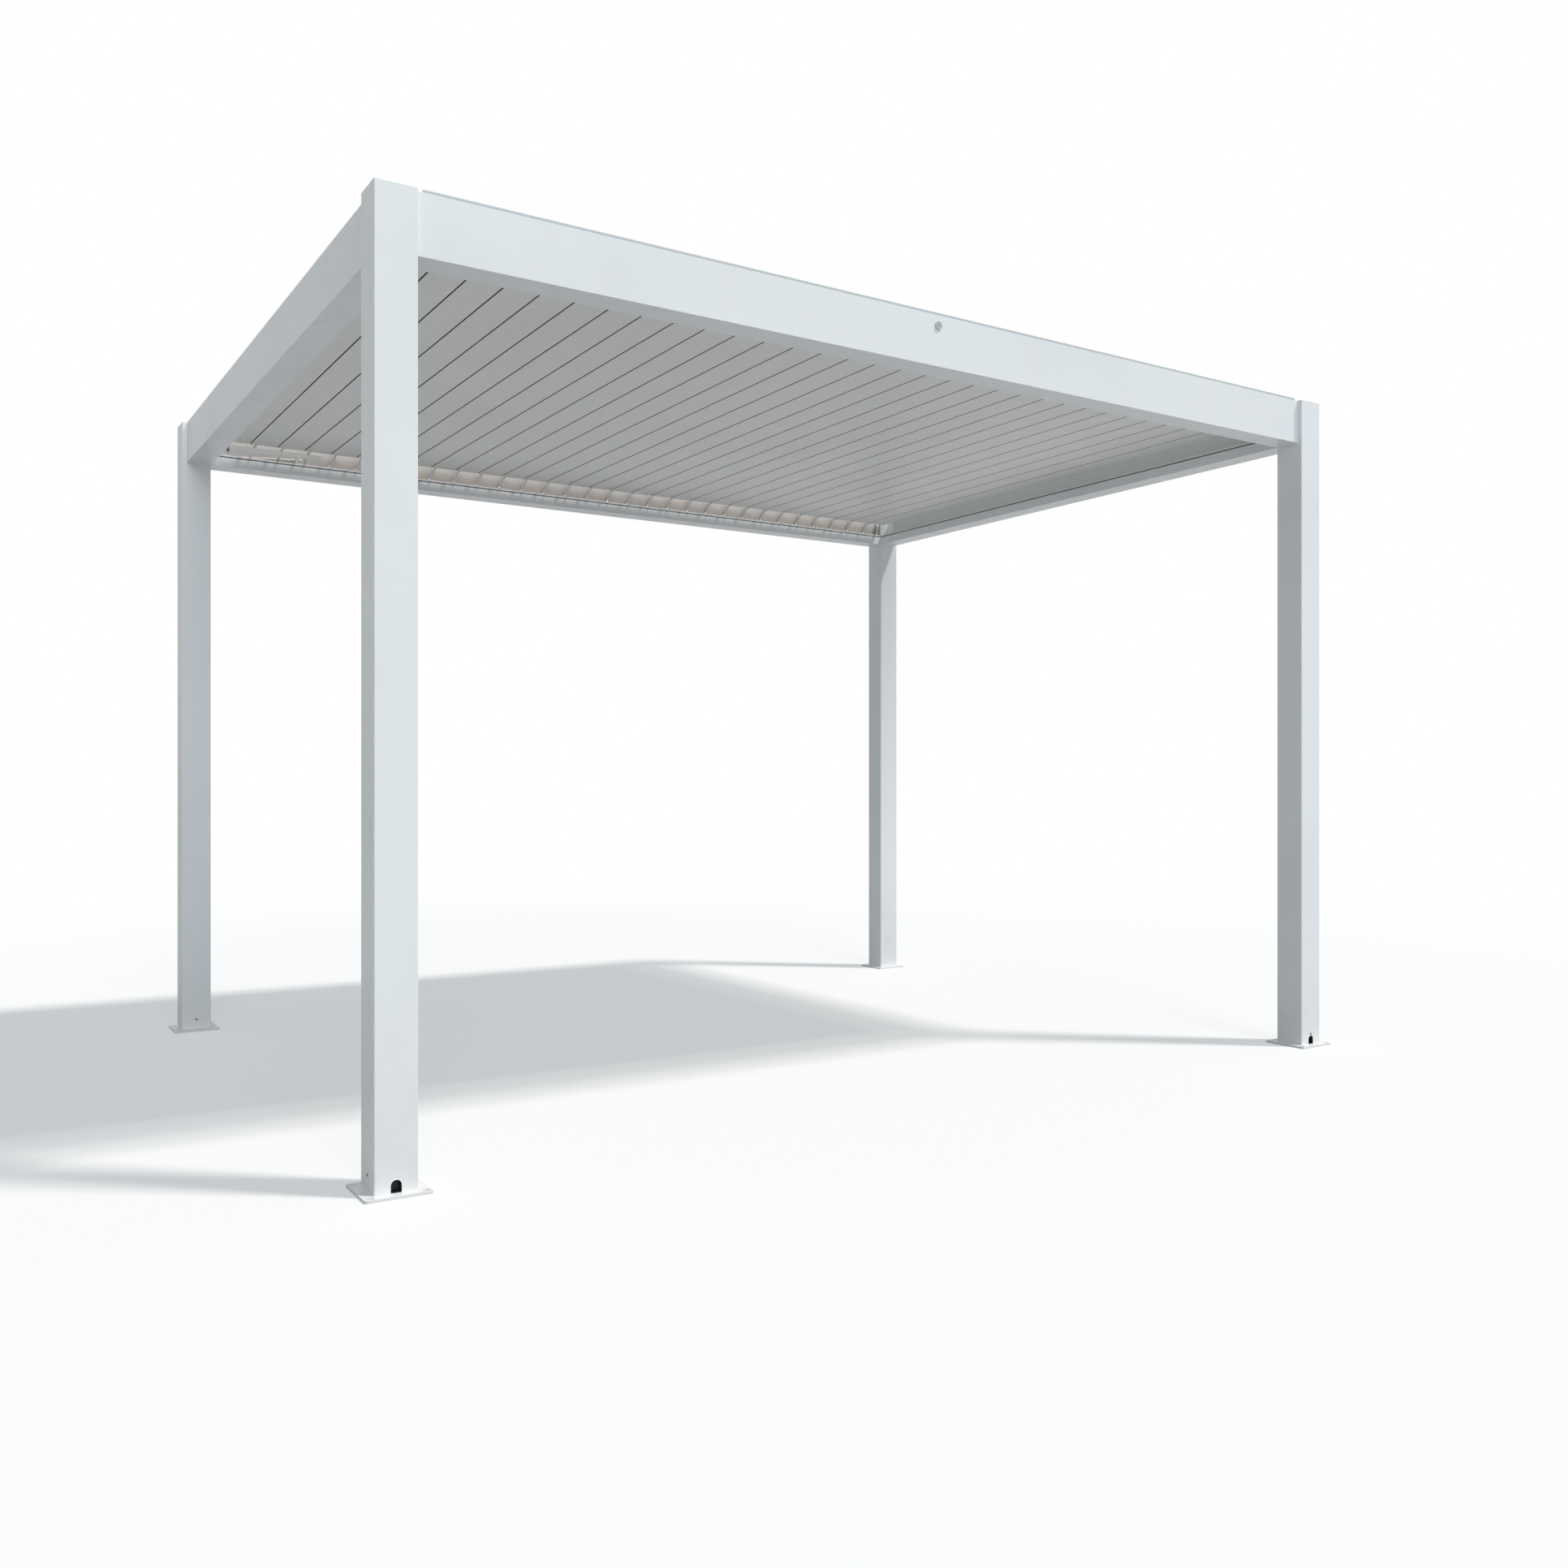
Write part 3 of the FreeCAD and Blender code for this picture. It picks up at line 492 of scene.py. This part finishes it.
# The rim's rings are its sections of four points, one after another along the arch.
RIM = [arch(0.0001, HALF_DEPTH), arch(0.0003, HALF_DEPTH + 0.0006),
       arch(0.0014, HALF_DEPTH + 0.0006), arch(0.0018, HALF_DEPTH)]
RIM_SECTIONS = list(zip(*RIM))


def at_post(rings, sx, sy):
    # The rings moved from the middle to the post's face that looks towards sy.
    return [[(sx * POST_X + x, sy * y, z) for x, y, z in ring] for ring in rings]


for corner, sx, sy in (("front_left", -1, -1), ("front_right", 1, -1), ("back_left", -1, 1),
                       ("back_right", 1, 1)):
    piece("drain_liner_" + corner, skin(at_post(LINER, sx, sy)), "black_rubber", "frame",
          False)
    piece("drain_rim_" + corner, skin(at_post(RIM_SECTIONS, sx, sy)), "white_plastic", "frame",
          False)

# Raised rim and dark eye of the small sensor
EYE = Vector((-0.06, -1.484, 2.664))
piece("sensor_rim", turned([(0.0139, 0.0), (0.0139, 0.0005), (0.0127, 0.0010), (0.0117, 0.0005),
                            (0.0117, 0.0)], 48, EYE, (0, -1, 0)),
      "sensor_plastic", "frame")
piece("sensor_eye", turned([(0.0024, -0.0028), (0.0024, -0.0012), (0.0012, -0.0004),
                            (0.0, -0.0002)], 24, EYE, (0, -1, 0)),
      "black_rubber", "frame")

# Floor, light and camera
FLOOR_HALF = 60.0
FLOOR_RETURN = (0.39, 0.39, 0.39)
WHITE = (1, 1, 1, 1)


def floor():
    # Near white to the camera and in reflections, pale grey in the light it gives back.
    t = Tree("floor_pale")
    where = t.place()
    grain = t.noise(where, 30.0, 3.0)
    pale = t.steps(grain, [(0.3, (0.86, 0.86, 0.86)), (0.7, (0.88, 0.88, 0.88))])
    rays = t.add("ShaderNodeLightPath")
    seen = t.maths("MAXIMUM", rays.outputs["Is Camera Ray"], rays.outputs["Is Glossy Ray"])
    surface = t.add("ShaderNodeBsdfDiffuse")
    t.join(t.blend(seen, FLOOR_RETURN, pale), surface.inputs["Color"])
    glow = t.add("ShaderNodeEmission")
    glow.inputs["Color"].default_value = WHITE
    glow.inputs["Strength"].default_value = 1.0
    far = t.add("ShaderNodeVectorMath", operation="LENGTH")
    t.join(where, far.inputs[0])
    fade = t.range(far.outputs["Value"], 3.5, 9.0, 0.35, 1.0)
    mix = t.add("ShaderNodeMixShader")
    t.join(t.maths("MULTIPLY", fade, seen), mix.inputs["Fac"])
    t.join(surface.outputs["BSDF"], mix.inputs[1])
    t.join(glow.outputs["Emission"], mix.inputs[2])
    t.join(mix.outputs["Shader"], t.out.inputs["Surface"])
    bm = bmesh.new()
    bmesh.ops.create_grid(bm, x_segments=8, y_segments=8, size=FLOOR_HALF)
    mesh = bpy.data.meshes.new("floor")
    bm.to_mesh(mesh)
    bm.free()
    obj = bpy.data.objects.new("floor", mesh)
    bpy.context.scene.collection.objects.link(obj)
    mesh.materials.append(t.mat)


def world():
    # A soft sky that is white to the camera, in reflections and through glass.
    sky = bpy.data.worlds.new("soft_studio")
    bpy.context.scene.world = sky
    sky.use_nodes = True
    nodes = sky.node_tree.nodes
    join = sky.node_tree.links.new
    nodes.clear()
    rays = nodes.new("ShaderNodeLightPath")
    seen = rays.outputs["Is Camera Ray"]
    for kind in ("Is Glossy Ray", "Is Transmission Ray"):
        most = nodes.new("ShaderNodeMath")
        most.operation = "MAXIMUM"
        join(seen, most.inputs[0])
        join(rays.outputs[kind], most.inputs[1])
        seen = most.outputs["Value"]
    mix = nodes.new("ShaderNodeMixShader")
    join(seen, mix.inputs["Fac"])
    for socket, color, strength in ((1, (0.86, 0.95, 1.0, 1), 0.38), (2, WHITE, 1.0)):
        light = nodes.new("ShaderNodeBackground")
        light.inputs["Color"].default_value = color
        light.inputs["Strength"].default_value = strength
        join(light.outputs["Background"], mix.inputs[socket])
    join(mix.outputs["Shader"], nodes.new("ShaderNodeOutputWorld").inputs["Surface"])


def sun(name, energy, angle, color, direction):
    lamp = bpy.data.lights.new(name, "SUN")
    lamp.energy = energy
    lamp.angle = math.radians(angle)
    lamp.color = color
    obj = bpy.data.objects.new(name, lamp)
    bpy.context.scene.collection.objects.link(obj)
    obj.rotation_euler = Vector(direction).to_track_quat("-Z", "Y").to_euler()


def camera():
    # Level, with the place, turn and lens worked out from the photograph's vanishing points.
    data = bpy.data.cameras.new("camera")
    data.sensor_fit = "HORIZONTAL"
    data.sensor_width = 36.0
    data.lens = 31.226
    data.shift_x = 0.01364
    data.clip_end = 400.0
    obj = bpy.data.objects.new("camera", data)
    bpy.context.scene.collection.objects.link(obj)
    obj.location = (-3.05964, -5.08242, 1.09765)
    obj.rotation_euler = (math.radians(90), 0, -0.56598)
    bpy.context.scene.camera = obj


floor()
world()
sun("key", 2.4, 6.0, (1.0, 0.98, 0.96), (-1.08, 0.915, -2.525))
sun("fill", 0.92, 30.0, (0.86, 0.93, 1.0), (0.18, 1.0, -0.35))
camera()
bpy.context.scene.view_settings.view_transform = "Standard"
